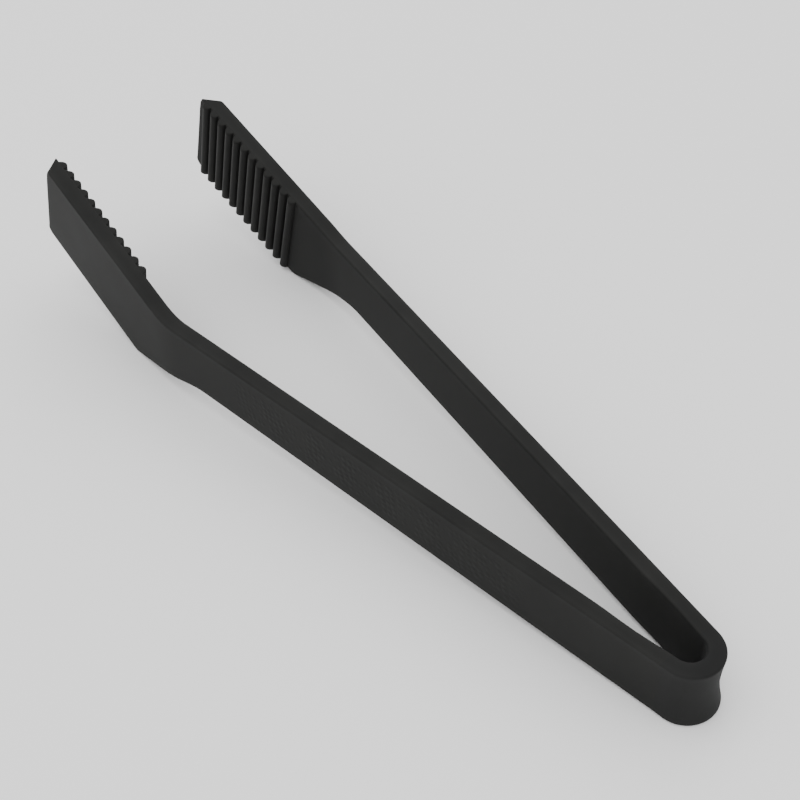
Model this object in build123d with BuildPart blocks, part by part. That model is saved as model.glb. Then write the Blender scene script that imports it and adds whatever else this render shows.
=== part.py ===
from build123d import *
from math import atan, cos, sin, sqrt
import os

# Ice tongs: one U-shaped strap of black plastic with two ribbed jaws.
# The tongs are a single moulding.  Each region of it is a solid of its own here,
# and the regions meet face to face, so that the arms can swing where the real
# plastic bends.
#
# Row frame, in millimetres: +X from the bow to the tips, +Y to the left arm, +Z up.
# The tongs lie on the table, z = 0, as they are put down: the bow's lower edge and
# the two jaw heels touch it, so the strap climbs a little towards the tips.
# The origin is on the table, in the middle of the tongs' length.

# ---- driving dimensions -----------------------------------------------------
# They are in the strap's own directions: x along the tongs from the outside of
# the bow, y across them from the middle plane, z up from the strap's mid-width.

overall_length = 167.34       # from the back of the bow to the foremost point
strap_width = 11.7
edge_round = 0.4              # soft edges all round the moulding

bow_outer_radius = 5.25
bow_wall = 2.9                # thicker than the arms, because it is the spring
bow_end = 12.0                # the arms begin here, at the middle of the bend

arm_outer_slope = 0.140       # how far each face runs outwards per millimetre
arm_inner_slope = 0.136
inner_face_start = 1.85       # the inner face's distance from the middle at x = 0

knee_x = 117.0                # the blades turn parallel to the middle plane here
knee_radius = 45.0
blade_outer_slope = -0.012
blade_inner_slope = -0.017
jaw_start = 104.0             # the jaws begin here, just short of the flare

nape_x = 116.0                # the jaw's upper edge starts to climb here
nape_radius = 8.0
jaw_top_rise = 0.305
jaw_bottom_rise = 0.326
flare_x = 108.9               # the lower edge runs down to the heel from here
flare_radius = 20.0
heel_x = 132.2
heel_drop = 5.4               # how far the heel stands below the strap's edge
heel_radius = 3.0

tip_x = 160.0                 # the tip's upper corner, on the gripping face
tip_lean = 0.44               # the end's slant seen from the side
tip_skew = 0.78               # the end's slant through the wall
tip_radius = 1.8

rib_count = 12
rib_pitch = 2.91
rib_height = 1.23
rib_radius = 1.0
first_rib_x = 163.85          # where the foremost rib crosses mid-width
rib_lean = 0.318              # the ribs stand square to the jaw's long edges
rib_margin = 0.2              # left bare at each end of a rib

# ---- sizes that follow ------------------------------------------------------

half_width = strap_width / 2
heel_z = -half_width - heel_drop
rest_slope = atan(heel_drop / heel_x)
past = 60.0                   # clear of every part, for cutting shapes

outer_run = sqrt(1 + arm_outer_slope**2)
inner_run = sqrt(1 + arm_inner_slope**2)
bow_tangent_x = bow_outer_radius * (1 - arm_outer_slope / outer_run)
bow_tangent_y = bow_outer_radius / outer_run
slot_radius = (inner_face_start + arm_inner_slope * bow_wall) / (
    inner_run - arm_inner_slope
)
slot_x = bow_wall + slot_radius


def arm_outer(x):
    """The arm's outer face, as its distance from the middle plane."""
    return bow_tangent_y + arm_outer_slope * (x - bow_tangent_x)


def arm_inner(x):
    return inner_face_start + arm_inner_slope * x


def blade_outer(x):
    """The jaw's outer face, beyond the knee."""
    return arm_outer(knee_x) + blade_outer_slope * (x - knee_x)


def blade_inner(x):
    return arm_inner(knee_x) + blade_inner_slope * (x - knee_x)


def jaw_top(x):
    return half_width + jaw_top_rise * (x - nape_x)


def jaw_bottom(x):
    return heel_z + jaw_bottom_rise * (x - heel_x)


# ---- the strap's own directions, laid down on the table ----------------------

# The strap leans back by the rest slope, so the bow's upper rim is rearmost.
bow_back_x = half_width * sin(rest_slope) - overall_length / 2
strap_origin = (bow_back_x, 0, half_width * cos(rest_slope))
forward = (cos(rest_slope), 0, sin(rest_slope))
upward = (-sin(rest_slope), 0, cos(rest_slope))
plan = Plane(origin=strap_origin, x_dir=forward, z_dir=upward)
side = Plane(origin=strap_origin, x_dir=forward, z_dir=(0, -1, 0))


def spot(x, y, z):
    """A point given in the strap's own directions."""
    return plan.from_local_coords((x, y, z))


def heading(x, y, z):
    """A direction given in the strap's own directions."""
    return spot(x, y, z) - spot(0, 0, 0)


os.makedirs("parts", exist_ok=True)

# ---- bow: the U-shaped spring at the back ------------------------------------

with BuildPart() as spring_bow:
    with BuildSketch(plan) as bow_shape:
        with BuildLine():
            Polyline(
                (bow_tangent_x, bow_tangent_y),
                (bow_end, arm_outer(bow_end)),
                (bow_end, -arm_outer(bow_end)),
                (bow_tangent_x, -bow_tangent_y),
            )
            ThreePointArc(
                (bow_tangent_x, -bow_tangent_y),
                (0, 0),
                (bow_tangent_x, bow_tangent_y),
            )
        make_face()
        slot_tangent_x = slot_x - slot_radius * arm_inner_slope / inner_run
        slot_tangent_y = slot_radius / inner_run
        with BuildLine():
            Polyline(
                (slot_tangent_x, slot_tangent_y),
                (bow_end, arm_inner(bow_end)),
                (bow_end, -arm_inner(bow_end)),
                (slot_tangent_x, -slot_tangent_y),
            )
            ThreePointArc(
                (slot_tangent_x, -slot_tangent_y),
                (bow_wall, 0),
                (slot_tangent_x, slot_tangent_y),
            )
        make_face(mode=Mode.SUBTRACT)
    extrude(amount=half_width, both=True)
    rims = spring_bow.faces().filter_by(Axis(strap_origin, upward))
    fillet(rims.edges().filter_by(lambda e: e.length > 1.5 * bow_wall), edge_round)

spring_bow.part.label = "spring_bow"
export_step(spring_bow.part, "parts/spring_bow.step")

# ---- left arm: the straight strap from the bow to the jaw --------------------

with BuildPart() as left_arm:
    with BuildSketch(plan):
        with BuildLine():
            Polyline(
                (bow_end, arm_inner(bow_end)),
                (jaw_start, arm_inner(jaw_start)),
                (jaw_start, arm_outer(jaw_start)),
                (bow_end, arm_outer(bow_end)),
                close=True,
            )
        make_face()
    extrude(amount=half_width, both=True)
    long_edges = left_arm.edges().filter_by(lambda e: e.length > strap_width * 2)
    fillet(long_edges, edge_round)

left_arm.part.label = "left_arm"
export_step(left_arm.part, "parts/left_arm.step")

# ---- left jaw: a taller blade, turned in at the knee and cranked upwards ------

with BuildSketch(side) as jaw_outline:
    with BuildLine():
        Polyline(
            (jaw_start, -half_width),
            (flare_x, -half_width),
            (heel_x, heel_z),
            (tip_x + past, jaw_bottom(tip_x + past)),
            (tip_x + past, jaw_top(tip_x + past)),
            (nape_x, half_width),
            (jaw_start, half_width),
            close=True,
        )
    make_face()
    flare = jaw_outline.vertices().sort_by_distance((flare_x, -half_width))[0]
    fillet(flare, flare_radius)
    heel = jaw_outline.vertices().sort_by_distance((heel_x, heel_z))[0]
    fillet(heel, heel_radius)
    nape = jaw_outline.vertices().sort_by_distance((nape_x, half_width))[0]
    fillet(nape, nape_radius)

# The end is one flat cut that leans back towards the top and the outer face.
tip_cut = Plane(
    origin=spot(tip_x, blade_inner(tip_x), jaw_top(tip_x)),
    z_dir=heading(1, tip_skew, tip_lean),
)

with BuildPart() as left_jaw:
    with BuildSketch(plan):
        with BuildLine():
            Polyline(
                (jaw_start, arm_inner(jaw_start)),
                (knee_x, arm_inner(knee_x)),
                (tip_x + past, blade_inner(tip_x + past)),
                (tip_x + past, blade_outer(tip_x + past)),
                (knee_x, arm_outer(knee_x)),
                (jaw_start, arm_outer(jaw_start)),
                close=True,
            )
        blade = make_face()
        fillet(blade.vertices().filter_by_position(Axis.X, knee_x, knee_x), knee_radius)
    extrude(amount=past, both=True)
    extrude(jaw_outline.sketch, amount=past, both=True, mode=Mode.INTERSECT)
    split(bisect_by=tip_cut, keep=Keep.BOTTOM)
    tip_corner = left_jaw.edges().filter_by(GeomType.LINE).sort_by_distance(
        spot(overall_length, blade_outer(tip_x), jaw_bottom(overall_length))
    )[0]
    fillet(tip_corner, tip_radius)
    fillet(left_jaw.edges().filter_by(lambda e: e.length > strap_width * 2), edge_round)

left_jaw.part.label = "left_jaw"
export_step(left_jaw.part, "parts/left_jaw.step")

# ---- left ribs: rounded bars across the gripping face --------------------------

run_along_face = heading(1, blade_inner_slope, 0)
rib_direction = heading(-rib_lean, -rib_lean * blade_inner_slope, 1)
face_middle = spot(first_rib_x, blade_inner(first_rib_x), 0)
rib_section = Plane(
    origin=face_middle, x_dir=run_along_face.cross(rib_direction), z_dir=rib_direction
)
square_pitch = rib_pitch / sqrt(1 + rib_lean**2)

with BuildPart() as left_ribs:
    with BuildSketch(rib_section):
        for place in range(rib_count):
            with Locations((rib_height - rib_radius, -place * square_pitch)):
                Circle(rib_radius)
        with Locations((-rib_radius, 0)):
            Rectangle(2 * rib_radius, 2 * past, mode=Mode.SUBTRACT)
    extrude(amount=past, both=True)
    with BuildSketch(side) as rib_field:
        add(jaw_outline.sketch_local)
        offset(amount=-rib_margin)
    extrude(amount=past, both=True, mode=Mode.INTERSECT)

left_ribs.part.label = "left_ribs"
export_step(left_ribs.part, "parts/left_ribs.step")

# ---- the right half is the left half's mirror image -----------------------------

with BuildPart() as right_arm:
    mirror(left_arm.part, about=Plane.XZ)

right_arm.part.label = "right_arm"
export_step(right_arm.part, "parts/right_arm.step")

with BuildPart() as right_jaw:
    mirror(left_jaw.part, about=Plane.XZ)

right_jaw.part.label = "right_jaw"
export_step(right_jaw.part, "parts/right_jaw.step")

with BuildPart() as right_ribs:
    mirror(left_ribs.part, about=Plane.XZ)

right_ribs.part.label = "right_ribs"
export_step(right_ribs.part, "parts/right_ribs.step")
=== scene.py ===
import math
import bmesh
import bpy
from mathutils import Matrix, Vector


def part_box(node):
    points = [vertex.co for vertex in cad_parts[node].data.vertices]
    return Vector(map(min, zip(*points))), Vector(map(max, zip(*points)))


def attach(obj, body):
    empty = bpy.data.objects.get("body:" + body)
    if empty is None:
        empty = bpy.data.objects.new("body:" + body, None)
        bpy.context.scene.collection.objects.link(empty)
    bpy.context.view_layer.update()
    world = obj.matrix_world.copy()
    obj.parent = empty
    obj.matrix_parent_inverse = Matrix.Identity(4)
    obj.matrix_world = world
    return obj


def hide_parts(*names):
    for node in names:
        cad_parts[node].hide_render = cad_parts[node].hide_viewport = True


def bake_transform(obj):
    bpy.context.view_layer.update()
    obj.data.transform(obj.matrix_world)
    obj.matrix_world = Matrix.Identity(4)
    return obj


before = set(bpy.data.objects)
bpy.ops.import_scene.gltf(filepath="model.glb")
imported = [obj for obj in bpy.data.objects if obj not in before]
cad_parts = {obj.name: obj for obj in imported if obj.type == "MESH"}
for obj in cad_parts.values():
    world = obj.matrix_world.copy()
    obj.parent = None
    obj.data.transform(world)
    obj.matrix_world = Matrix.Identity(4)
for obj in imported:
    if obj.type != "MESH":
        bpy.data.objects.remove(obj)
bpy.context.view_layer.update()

# Ice tongs, moulded in one piece of black plastic and lying on their side.


# ---- The bow ---------------------------------------------------------------------
# The closed end of the tongs is a narrow U, thicker than the arms because it is the
# spring. It comes from the mould with rounded rims and a back that is dished a
# little between them, where the thick plastic has shrunk as it cooled.

MM = 0.001
strap_width = 11.7 * MM
half_width = strap_width / 2
wall = 2.6 * MM                    # of the straight bar that every piece starts from
rim_round = 0.4 * MM
rim_steps, corner_steps = 4, 7
same_place = MM / 100
sharp_turn, crease_turn = math.radians(40), math.radians(50)

bow_outer_radius = 5.25 * MM
bow_wall = 2.9 * MM
bow_seam = 6.0 * MM                # the arms' pieces begin here, on the straight
back_dish = 0.34 * MM
dish_length = 22.0 * MM            # along the arm, beyond the bow
splay = 0.42 * MM                  # the lower rim stands out this much at the back
splay_curve = 1.3
splay_full = 0.7                   # of the round; from here it fades along the leg
splay_lean = 0.7                   # how much more of it is on the right than on the left
slot_swell = 0.2 * MM              # each side of the slot gives way this much, near its end
swell_start, swell_end = 5.0 * MM, 20.0 * MM
outer_slope, inner_slope = 0.140, 0.136
inner_face_start = 1.85 * MM

heel_x, heel_drop = 132.2 * MM, 5.4 * MM
rest_slope = math.atan(heel_drop / heel_x)

# Pieces are shaped lengthwise along X, then laid down on the bow and the heels.
bow_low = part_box("spring_bow")[0]
bow_back = Vector((
    bow_low.x + half_width * math.sin(rest_slope),
    0,
    half_width * math.cos(rest_slope),
))
lay_down = Matrix.Translation(bow_back) @ Matrix.Rotation(-rest_slope, 4, "Y")


def straight_bar(start, end, cuts, rows, tip_round=0.0):
    """A moulded bar with rounded rims, cut across at each length and each height."""
    bar = bmesh.new()
    bmesh.ops.create_cube(bar, size=1)
    bmesh.ops.scale(bar, vec=(end - start, wall, strap_width), verts=bar.verts)
    bmesh.ops.translate(bar, vec=((start + end) / 2, 0, 0), verts=bar.verts)
    lone_end = tip_round > 0
    if lone_end:
        corner = [
            e for e in bar.edges
            if all(v.co.x > end - same_place and v.co.z < 0 for v in e.verts)
        ]
        bmesh.ops.bevel(
            bar, geom=corner, offset=tip_round, offset_type="OFFSET",
            segments=corner_steps, profile=0.5, affect="EDGES", material=-1,
        )
    rims = []
    for e in bar.edges:
        at_start = all(v.co.x < start + same_place for v in e.verts)
        at_end = all(v.co.x > end - same_place for v in e.verts)
        sharp = e.calc_face_angle(0) > sharp_turn
        if sharp and not at_start and (lone_end or not at_end):
            rims.append(e)
    bmesh.ops.bevel(
        bar, geom=rims, offset=rim_round, offset_type="OFFSET", segments=rim_steps,
        profile=0.5, affect="EDGES", material=-1,
    )
    planes = [((x, 0, 0), (1, 0, 0)) for x in cuts]
    planes += [((0, 0, z), (0, 0, 1)) for z in rows]
    planes += [((0, 0, 0), (0, 1, 0))]
    for place, facing in planes:
        everything = bar.verts[:] + bar.edges[:] + bar.faces[:]
        bmesh.ops.bisect_plane(bar, geom=everything, plane_co=place, plane_no=facing)
    return bar


def keep_rims(value, half, low, high, kept):
    """Moves a place on the bar to its place in the real section, its rims unstretched."""
    if value > half - kept:
        return high - (half - value)
    if value < kept - half:
        return low + (value + half)
    share = (value + half - kept) / (2 * half - 2 * kept)
    return (low + kept) + share * (high - low - 2 * kept)


wear_reach = 1.6 * MM              # how far from a rim the rubbing shows
grip_margin = 1.4 * MM             # left plain beside the rims
grip_fade, grip_side_fade = 4.0 * MM, 1.2 * MM
face_depth = 0.1 * MM              # points this near the outer side are on its face


def mark_wear(bar, grip_start=0.0, grip_end=0.0):
    """Notes how near each point is to a rim, and where the fingers hold the arm."""
    rim = bar.verts.layers.float.new("rim")
    grip = bar.verts.layers.float.new("grip")
    for v in bar.verts:
        off = (half_width - abs(v.co.z)) + (wall / 2 - abs(v.co.y))
        v[rim] = max(0.0, 1 - off / wear_reach)
        if grip_end > grip_start and v.co.y > wall / 2 - face_depth:
            ends = min(v.co.x - grip_start, grip_end - v.co.x) / grip_fade
            sides = (half_width - grip_margin - abs(v.co.z)) / grip_side_fade
            v[grip] = max(0.0, min(1.0, ends, sides))


def finished(bar, name):
    """Lays the shaped mesh down on the table and makes it an object."""
    bmesh.ops.transform(bar, matrix=lay_down, verts=bar.verts)
    bmesh.ops.recalc_face_normals(bar, faces=bar.faces)
    for f in bar.faces:
        f.smooth = True
    for e in bar.edges:
        e.smooth = e.calc_face_angle(0) < crease_turn
    mesh = bpy.data.meshes.new(name)
    bar.to_mesh(mesh)
    bar.free()
    piece = bpy.data.objects.new(name, mesh)
    bpy.context.scene.collection.objects.link(piece)
    even = piece.modifiers.new("even_shading", "WEIGHTED_NORMAL")
    even.keep_sharp = True
    return piece


outer_run = math.hypot(1, outer_slope)
inner_run = math.hypot(1, inner_slope)
back_turn = math.acos(outer_slope / outer_run)
slot_turn = math.acos(inner_slope / inner_run)
outer_tangent = Vector((
    bow_outer_radius * (1 - math.cos(back_turn)), bow_outer_radius * math.sin(back_turn),
))
slot_radius = (inner_face_start + inner_slope * bow_wall) / (inner_run - inner_slope)
slot_middle = bow_wall + slot_radius


def arm_outer(x):
    return outer_tangent.y + outer_slope * (x - outer_tangent.x)


def arm_inner(x):
    share = max(0.0, min(1.0, (x - swell_start) / (swell_end - swell_start)))
    swell = slot_swell * (1 - math.cos(2 * math.pi * share)) / 2
    return inner_face_start + inner_slope * x + swell


def dished(x, height):
    """How deep the outer face is drawn in, fading out along the arm."""
    fade = max(0.0, 1 - max(0.0, x - bow_seam) / dish_length)
    return back_dish * fade * fade * (1 - (height / half_width) ** 2)


bow_rows = [n * MM for n in (-5, -4, -3, -2, -1, 0, 1, 2, 3, 4, 5)]
turn_steps = 28                          # on each side of the middle plane
turn_end, leg_end = 10 * MM, 12 * MM     # bar lengths of the round and of one leg
turn_cuts = [turn_end * n / turn_steps for n in range(-turn_steps, turn_steps + 1)]
bow = straight_bar(-leg_end, leg_end, turn_cuts, bow_rows)
mark_wear(bow)
for v in bow.verts:
    way = min(1.0, abs(v.co.x) / turn_end)
    side_sign = -1 if v.co.x < 0 else 1
    back = Vector((
        bow_outer_radius * (1 - math.cos(way * back_turn)),
        bow_outer_radius * math.sin(way * back_turn),
    ))
    slot = Vector((
        slot_middle - slot_radius * math.cos(way * slot_turn),
        slot_radius * math.sin(way * slot_turn),
    ))
    leg = max(0.0, abs(v.co.x) - turn_end) / (leg_end - turn_end)
    back = back.lerp(Vector((bow_seam, arm_outer(bow_seam))), leg)
    slot = slot.lerp(Vector((bow_seam, arm_inner(bow_seam))), leg)
    through = back - slot
    depth = keep_rims(v.co.y, wall / 2, 0, through.length, rim_round)
    if v.co.y > wall / 2 - rim_round:
        depth -= dished(0, v.co.z)
    # The lower rim splays out, more to the right than to the left.
    fade_start = splay_full * turn_end
    faded = max(0.0, abs(v.co.x) - fade_start) / (leg_end - fade_start)
    outward = splay * max(0.0, -v.co.z / half_width) ** splay_curve * (1 - faded)
    outward *= 1 - splay_lean * v.co.x / turn_end
    place = slot + through.normalized() * (depth + outward)
    lift = outward * math.sin(rest_slope)
    v.co = (place.x, side_sign * place.y, v.co.z + lift)
spring_bow = finished(bow, "bow")
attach(spring_bow, "bow")
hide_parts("spring_bow")

# The mould's fine spark-eroded grain is on every face; hands and ice polish it
# where they rub.


def new_group(name, ins, outs):
    group = bpy.data.node_groups.new(name, "ShaderNodeTree")
    for label, kind, default in ins:
        socket = group.interface.new_socket(label, in_out="INPUT", socket_type=kind)
        if default is not None:
            socket.default_value = default
    for label, kind in outs:
        group.interface.new_socket(label, in_out="OUTPUT", socket_type=kind)
    return group, group.nodes.new("NodeGroupInput"), group.nodes.new("NodeGroupOutput")


def maths(tree, operation, first, second, clamp=False):
    """A Math node; each side is a socket or a number."""
    node = tree.nodes.new("ShaderNodeMath")
    node.operation = operation
    node.use_clamp = clamp
    for socket, value in zip(node.inputs, (first, second)):
        if isinstance(value, (int, float)):
            socket.default_value = value
        else:
            tree.links.new(value, socket)
    return node.outputs[0]


FLOAT, VECTOR = "NodeSocketFloat", "NodeSocketVector"

# Spark grain: a fine, even pebble, with a slower unevenness in how it shines.
spark_grain, entry, leaving = new_group(
    "spark_grain",
    [("Place", VECTOR, None), ("Grain Size", FLOAT, 0.25), ("Mottle Size", FLOAT, 9.0)],
    [("Height", FLOAT), ("Mottle", FLOAT)],
)
fine = spark_grain.nodes.new("ShaderNodeTexNoise")
fine.inputs["Detail"].default_value = 3.0
fine.inputs["Roughness"].default_value = 0.6
per_metre = maths(spark_grain, "DIVIDE", 1000.0, entry.outputs["Grain Size"])
spark_grain.links.new(entry.outputs["Place"], fine.inputs["Vector"])
spark_grain.links.new(per_metre, fine.inputs["Scale"])
slow = spark_grain.nodes.new("ShaderNodeTexNoise")
slow.inputs["Detail"].default_value = 4.0
slow.inputs["Roughness"].default_value = 0.55
slow_scale = maths(spark_grain, "DIVIDE", 1000.0, entry.outputs["Mottle Size"])
spark_grain.links.new(entry.outputs["Place"], slow.inputs["Vector"])
spark_grain.links.new(slow_scale, slow.inputs["Scale"])
spark_grain.links.new(fine.outputs["Fac"], leaving.inputs["Height"])
spark_grain.links.new(slow.outputs["Fac"], leaving.inputs["Mottle"])

# Rubbed rims: the edges lose their grain first, in patches rather than evenly.
patch_contrast, patch_level, rim_falloff = 1.8, -0.35, 1.6
rubbed_rims, entry, leaving = new_group(
    "rubbed_rims",
    [("Rim", FLOAT, 0.0), ("Mottle", FLOAT, 0.5), ("Amount", FLOAT, 1.0)],
    [("Rubbed", FLOAT)],
)
patchy = maths(rubbed_rims, "MULTIPLY_ADD", entry.outputs["Mottle"], patch_contrast)
patchy.node.inputs[2].default_value = patch_level
near_rim = maths(rubbed_rims, "POWER", entry.outputs["Rim"], rim_falloff)
rubbed = maths(rubbed_rims, "MULTIPLY", near_rim, patchy, clamp=True)
rubbed = maths(rubbed_rims, "MULTIPLY", rubbed, entry.outputs["Amount"], clamp=True)
rubbed_rims.links.new(rubbed, leaving.inputs["Rubbed"])

rub_paling, rub_shine = 1.9, 0.18         # rubbed plastic is paler and smoother
shine_spread = 0.16                       # between its dullest and its glossiest patches
pip_pitch, pip_radius = 1.25 * MM, 0.55   # the radius is a share of the pitch


def black_plastic(name, dark, light, roughness, rub, grain_height, stipple_height=0.0):
    """Black moulded plastic, with its own shade, shine, wear and surface relief."""
    material = bpy.data.materials.new(name)
    material.use_nodes = True
    tree = material.node_tree
    shader = tree.nodes["Principled BSDF"]
    shader.inputs["IOR"].default_value = 1.46
    shader.inputs["Specular IOR Level"].default_value = 0.12
    where = tree.nodes.new("ShaderNodeTexCoord")
    grain = tree.nodes.new("ShaderNodeGroup")
    grain.node_tree = spark_grain
    tree.links.new(where.outputs["Object"], grain.inputs["Place"])
    rim = tree.nodes.new("ShaderNodeAttribute")
    rim.attribute_name = "rim"
    wear = tree.nodes.new("ShaderNodeGroup")
    wear.node_tree = rubbed_rims
    wear.inputs["Amount"].default_value = rub
    tree.links.new(rim.outputs["Fac"], wear.inputs["Rim"])
    tree.links.new(grain.outputs["Mottle"], wear.inputs["Mottle"])

    shade = tree.nodes.new("ShaderNodeValToRGB")
    shade.color_ramp.elements[0].position = 0.3
    shade.color_ramp.elements[0].color = (*dark, 1)
    shade.color_ramp.elements[1].position = 0.7
    shade.color_ramp.elements[1].color = (*light, 1)
    tree.links.new(grain.outputs["Mottle"], shade.inputs["Fac"])
    paler = tree.nodes.new("ShaderNodeMix")
    paler.data_type = "RGBA"
    paler.inputs["B"].default_value = (*(c * rub_paling for c in light), 1)
    tree.links.new(wear.outputs["Rubbed"], paler.inputs["Factor"])
    tree.links.new(shade.outputs["Color"], paler.inputs["A"])
    tree.links.new(paler.outputs["Result"], shader.inputs["Base Color"])

    uneven = maths(tree, "MULTIPLY_ADD", grain.outputs["Mottle"], shine_spread)
    uneven.node.inputs[2].default_value = roughness - shine_spread / 2
    smoother = maths(tree, "MULTIPLY", wear.outputs["Rubbed"], rub_shine)
    tree.links.new(maths(tree, "SUBTRACT", uneven, smoother), shader.inputs["Roughness"])

    bump = tree.nodes.new("ShaderNodeBump")
    bump.inputs["Distance"].default_value = grain_height
    bump.inputs["Strength"].default_value = 1.0
    tree.links.new(grain.outputs["Height"], bump.inputs["Height"])
    if stipple_height > 0:
        grip = tree.nodes.new("ShaderNodeAttribute")
        grip.attribute_name = "grip"
        pips = tree.nodes.new("ShaderNodeTexVoronoi")
        pips.inputs["Scale"].default_value = 1 / pip_pitch
        pips.inputs["Randomness"].default_value = 0.55
        tree.links.new(where.outputs["Object"], pips.inputs["Vector"])
        domes = maths(tree, "SUBTRACT", pip_radius, pips.outputs["Distance"], clamp=True)
        domes = maths(tree, "MULTIPLY", domes, grip.outputs["Fac"])
        relief = tree.nodes.new("ShaderNodeBump")
        relief.inputs["Distance"].default_value = stipple_height
        relief.inputs["Strength"].default_value = 1.0
        tree.links.new(domes, relief.inputs["Height"])
        tree.links.new(relief.outputs["Normal"], bump.inputs["Normal"])
    tree.links.new(bump.outputs["Normal"], shader.inputs["Normal"])
    return material


bow_plastic = black_plastic(
    "bow_plastic", dark=(0.0106, 0.0109, 0.0109), light=(0.0152, 0.0154, 0.0151),
    roughness=0.65, rub=0.25, grain_height=0.012 * MM,
)
spring_bow.data.materials.append(bow_plastic)


# ---- The arms and their jaws --------------------------------------------------------
# Each arm is a flat strap on edge that runs straight from the bow to a knee, where it
# turns in and widens into the jaw: a blade cranked upwards, with a rounded heel below
# and a slanted point. They are moulded in one with the bow.

# Each corner of an outline is its place, the reach of its easing and its change of slope.
blade_outer_slope, blade_inner_slope = -0.012, -0.017
jaw_top_rise, jaw_bottom_rise = 0.305, 0.326
knee_x, nape_x, flare_x = 117.0 * MM, 116.0 * MM, 108.9 * MM
flare_rise = -heel_drop / (heel_x - flare_x)
outer_knee = (knee_x, 3.4 * MM, blade_outer_slope - outer_slope)
inner_knee = (knee_x, 3.4 * MM, blade_inner_slope - inner_slope)
nape = (nape_x, 2.6 * MM, jaw_top_rise)
flare = (flare_x, 2.6 * MM, flare_rise)
heel = (heel_x, 1.0 * MM, jaw_bottom_rise - flare_rise)
tip_x = 160.3 * MM
tip_lean_run = 8.1 * MM            # how far the lower corner stands ahead of the upper
tip_skew = 2.9 * MM                # how far the outer face stops short, at the top
skew_lost = 1.9 * MM               # most of that is gone at the lower corner
tip_from = 138.0 * MM              # the cuts across the blade lean over from here on
tip_corner = 1.8 * MM
grip_start, grip_end = 30.0 * MM, 97.0 * MM


def turn(x, corner):
    """What an outline gains past a corner, which is eased over its reach."""
    at, reach, change = corner
    if x < at - reach:
        return 0.0
    if x < at + reach:
        return change * (x - at + reach) ** 2 / (4 * reach)
    return change * (x - at)


def outer_face(x):
    return arm_outer(x) + turn(x, outer_knee)


def inner_face(x):
    return arm_inner(x) + turn(x, inner_knee)


def upper_edge(x):
    return half_width + turn(x, nape)


def lower_edge(x):
    return -half_width + turn(x, flare) + turn(x, heel)


bend_cuts = [n * MM for n in range(7, 24)]
arm_cuts = [n * MM for n in range(26, 104, 3)]
knee_cuts = [(104 + n * 0.7) * MM for n in range(48)]
blade_cuts = [n * MM for n in range(139, 160, 2)]
arm_rows = [n * MM for n in (-5.1, -4.4, -3.2, -1.6, 0, 1.6, 3.2, 4.4, 5.1)]

arm_plastic = black_plastic(
    "arm_plastic", dark=(0.0110, 0.0112, 0.0108), light=(0.0156, 0.0158, 0.0150),
    roughness=0.65, rub=0.3, grain_height=0.012 * MM, stipple_height=0.10 * MM,
)

for name, mirrored in (("left", 1), ("right", -1)):
    arm = straight_bar(
        bow_seam, tip_x, bend_cuts + arm_cuts + knee_cuts + blade_cuts, arm_rows,
        tip_round=tip_corner,
    )
    mark_wear(arm, grip_start, grip_end)
    for v in arm.verts:
        along, through, up = v.co
        lean = max(0.0, (along - tip_from) / (tip_x - tip_from)) ** 2
        down = (half_width - up) / strap_width
        outward = through / wall + 0.5
        skew = outward * (tip_skew - skew_lost * min(1.0, down))
        x = along + lean * (tip_lean_run * down - skew)
        kept = rim_round + (tip_corner - rim_round) * lean
        outside = outer_face(x)
        if through > wall / 2 - rim_round:
            outside -= dished(x, up)
        y = keep_rims(through, wall / 2, inner_face(x), outside, rim_round)
        z = keep_rims(up, half_width, lower_edge(x), upper_edge(x), kept)
        v.co = (x, y * mirrored, z)
    arm_piece = finished(arm, name + "_arm_and_jaw")
    arm_piece.data.materials.append(arm_plastic)
    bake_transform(arm_piece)
    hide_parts(name + "_arm", name + "_jaw")


# ---- The gripping ribs ----------------------------------------------------------------
# Twelve half-round ribs stand square to the long edges of each jaw, on the face that
# meets the ice. They are moulded in one with the blade, and each one runs the whole way
# across it, flush with both edges.

rib_count = 12
rib_pitch = 2.91 * MM
rib_height = 1.12 * MM
rib_foot = 1.9 * MM                 # across the rib
rib_lean = 0.318
first_rib_x = 163.85 * MM
rib_margin = 0.04 * MM
rib_end_fall = 0.22 * MM
rib_root = 0.5 * MM                 # how deep a rib is rooted in the blade
rib_sink = 0.04 * MM                # its foot starts this far below the face
rib_steps = 14                      # across the rib, closer together at its feet
end_cuts = [n * MM for n in (0.02, 0.06, 0.12, 0.22, 0.8, 2.4, 4.5)]

jaw_plastic = black_plastic(
    "jaw_plastic", dark=(0.0112, 0.0114, 0.0108), light=(0.0160, 0.0161, 0.0152),
    roughness=0.6, rub=0.4, grain_height=0.010 * MM,
)


def rib_ends(foremost):
    """Where the line of a rib meets the jaw's lower and upper edges, found by closing in."""
    low, high = -half_width, half_width
    for closing_in in range(12):
        low = lower_edge(foremost - rib_lean * low)
        high = upper_edge(foremost - rib_lean * high)
    return low, high


def rib_profile(share):
    """Height across a rib, from 0 at its foot to 1 at the crest."""
    return math.sqrt(max(0.0, 1 - share * share))


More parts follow.
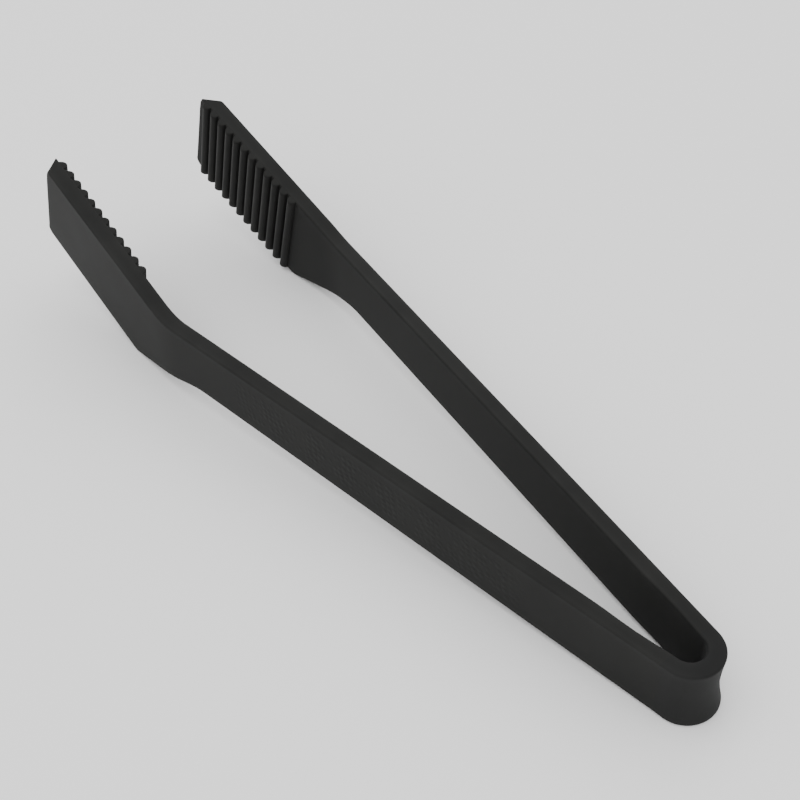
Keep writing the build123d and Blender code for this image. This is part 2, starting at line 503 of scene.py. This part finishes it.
for name, mirrored in (("left", 1), ("right", -1)):
    ribs = bmesh.new()
    crest = ribs.verts.layers.float.new("rim")
    for number in range(rib_count):
        foremost = first_rib_x - number * rib_pitch
        low, high = rib_ends(foremost)
        low, high = low + rib_margin, high - rib_margin
        rib = bmesh.ops.create_cube(ribs, size=1)["verts"]
        shape = (rib_foot, rib_root + rib_height, high - low)
        bmesh.ops.scale(ribs, vec=shape, verts=rib)
        rib_faces = {f for v in rib for f in v.link_faces}
        parts = list({e for f in rib_faces for e in f.edges} | rib_faces | set(rib))
        half_length = (high - low) / 2
        planes = [
            ((-rib_foot / 2 * math.cos(math.pi * n / rib_steps), 0, 0), (1, 0, 0))
            for n in range(1, rib_steps)
        ]
        planes += [((0, 0, n - half_length), (0, 0, 1)) for n in end_cuts]
        planes += [((0, 0, half_length - n), (0, 0, 1)) for n in end_cuts]
        for place, facing in planes:
            cut = bmesh.ops.bisect_plane(ribs, geom=parts, plane_co=place, plane_no=facing)
            parts = list(set(parts + cut["geom"]))
        for v in {p for p in parts if isinstance(p, bmesh.types.BMVert)}:
            across, out, up = v.co
            end = min(1.0, (half_length - abs(up)) / rib_end_fall)
            swell = rib_profile(2 * across / rib_foot) * math.sqrt(max(0.0, end * (2 - end)))
            up += (low + high) / 2
            x = foremost - rib_lean * up + across
            z = up + rib_lean * across
            root = inner_face(x) + rib_root
            top = inner_face(x) + rib_sink - swell * rib_height
            v[crest] = swell ** 3 if out > 0 else 0.0
            v.co = (x, mirrored * (top if out > 0 else root), z)
    rib_piece = finished(ribs, name + "_ribs_moulded")
    rib_piece.data.materials.append(jaw_plastic)
    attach(rib_piece, name + "_side")
    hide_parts(name + "_ribs")


# ---- Floor, light and camera -------------------------------------------------------------
# A plain pale sheet, a wide soft sky and large lamps, as in a small product studio.

floor_mesh = bmesh.new()
bmesh.ops.create_grid(floor_mesh, x_segments=1, y_segments=1, size=3.0)
floor_data = bpy.data.meshes.new("floor")
floor_mesh.to_mesh(floor_data)
floor_mesh.free()
floor = bpy.data.objects.new("floor", floor_data)
bpy.context.scene.collection.objects.link(floor)
paper = bpy.data.materials.new("paper")
paper.use_nodes = True
paper_shader = paper.node_tree.nodes["Principled BSDF"]
paper_shader.inputs["Base Color"].default_value = (0.96, 0.96, 0.96, 1)
paper_shader.inputs["Roughness"].default_value = 0.9
floor_data.materials.append(paper)

sky = bpy.data.worlds.new("studio")
sky.use_nodes = True
glow = sky.node_tree.nodes["Background"]
glow.inputs["Color"].default_value = (1, 1, 1, 1)
glow.inputs["Strength"].default_value = 1.2
bpy.context.scene.world = sky

for name, place, size, power in (
    ("overhead", (0.10, 0.20, 0.90), 0.9, 3.0),
    ("front", (-0.70, 0.75, 0.50), 0.8, 1.2),
    ("fill", (0.6, -0.7, 0.6), 0.9, 1.6),
):
    lamp = bpy.data.lights.new(name, "AREA")
    lamp.shape = "DISK"
    lamp.size = size
    lamp.energy = power
    lamp_object = bpy.data.objects.new(name, lamp)
    lamp_object.location = place
    lamp_object.rotation_euler = (-Vector(place)).to_track_quat("-Z", "Y").to_euler()
    bpy.context.scene.collection.objects.link(lamp_object)

azimuth, elevation, roll = (math.radians(a) for a in (235.27, 41.51, -4.96))
aim = Vector((-5.93, -4.37, 8.0)) * MM
distance = 227.67 * MM
away = Vector((
    math.sin(azimuth) * math.cos(elevation),
    -math.cos(azimuth) * math.cos(elevation),
    math.sin(elevation),
))
lens = bpy.data.cameras.new("camera")
lens.sensor_width = 36.0
lens.lens = 57.1
lens.clip_start = 0.01
camera = bpy.data.objects.new("camera", lens)
camera.rotation_mode = "QUATERNION"
upright = (-away).to_track_quat("-Z", "Y")
camera.rotation_quaternion = upright @ Matrix.Rotation(roll, 3, "Z").to_quaternion()
camera.location = aim + away * distance
bpy.context.scene.collection.objects.link(camera)
bpy.context.scene.camera = camera
